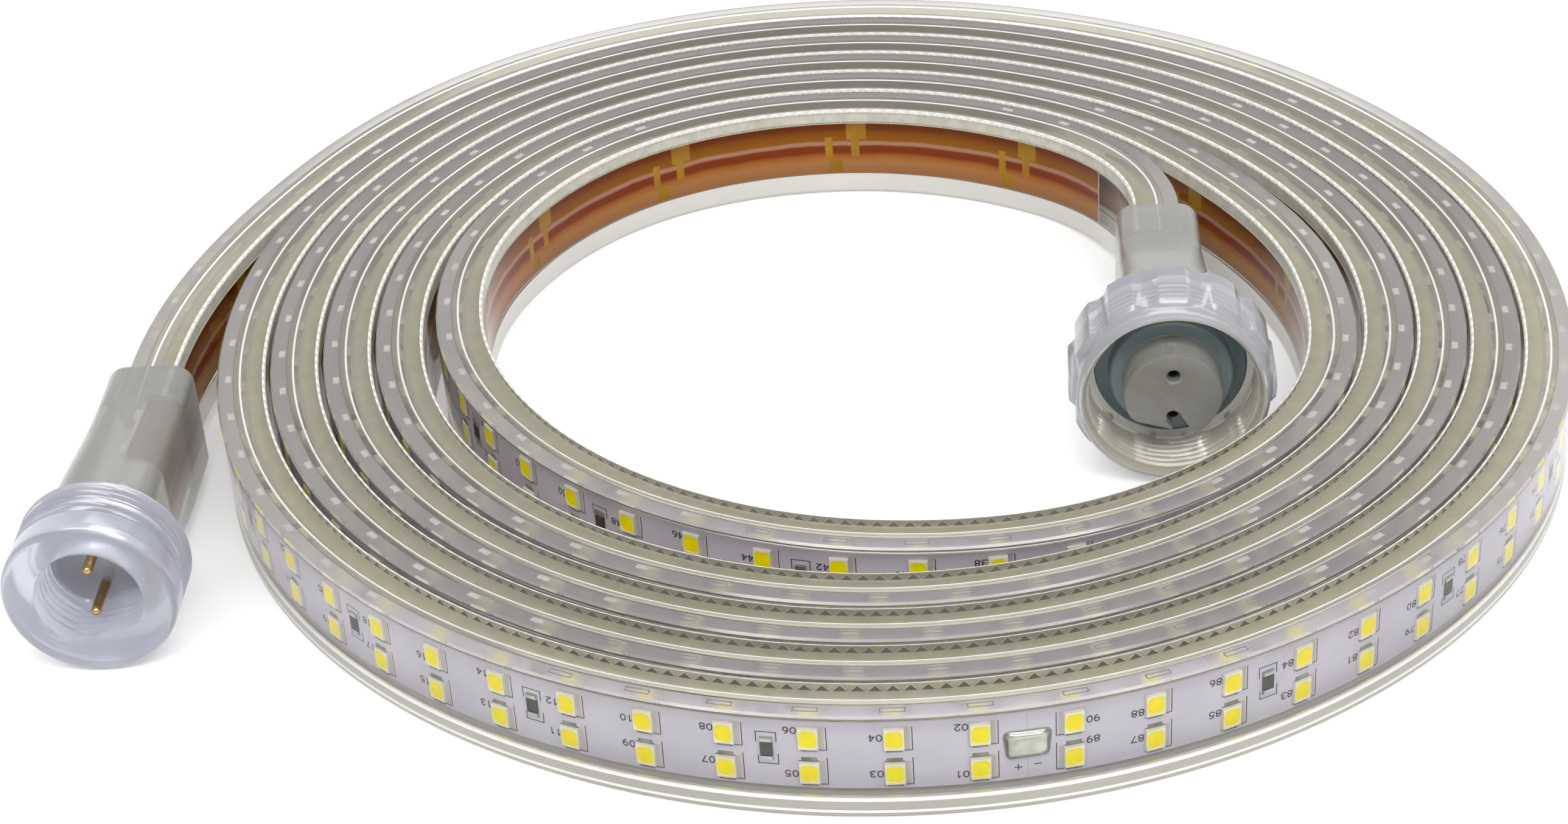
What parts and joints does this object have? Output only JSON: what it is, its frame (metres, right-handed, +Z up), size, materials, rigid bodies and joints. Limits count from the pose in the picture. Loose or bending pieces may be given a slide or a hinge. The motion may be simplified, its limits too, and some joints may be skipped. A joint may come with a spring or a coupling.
{
  "type": "led strip light",
  "caption": "Clear flexible LED strip light wound into a flat coil on the strip's edge, with a threaded pin connector at its outer end and a screw-nut socket connector at its inner end.",
  "frame": {"origin": "centre of the bounding box's bottom, on the floor the coil lies on", "axes": "+Z up, along the coil's axis; both connectors' mouths look towards -Y; the pin connector is at -X"},
  "size_m": [0.235, 0.2226, 0.0315],
  "materials": {
    "clear_sleeve": "clear, glossy",
    "circuit_board": "matt white, orange on the back",
    "clear_boot": "clear, satin",
    "clear_shell": "clear, glossy",
    "socket_body": "clear, satin",
    "pin_brass": "polished"
  },
  "bodies": {
    "light": {"strip_sleeve": "clear_sleeve", "light_board": "circuit_board", "male_boot": "clear_boot", "threaded_shell": "clear_shell", "contact_pin_a": "pin_brass", "contact_pin_b": "pin_brass", "female_boot": "clear_boot", "socket_insert": "socket_body"},
    "coupling_nut": {"coupling_nut": "clear_shell"}
  },
  "joints": [
    {"name": "coupling_nut_turn", "type": "hinge", "parent": "light", "child": "coupling_nut", "pos_m": [0.05288, -0.03857, 0.0159], "axis": [-0.0889, -0.996, 0], "continuous": true}
  ]
}
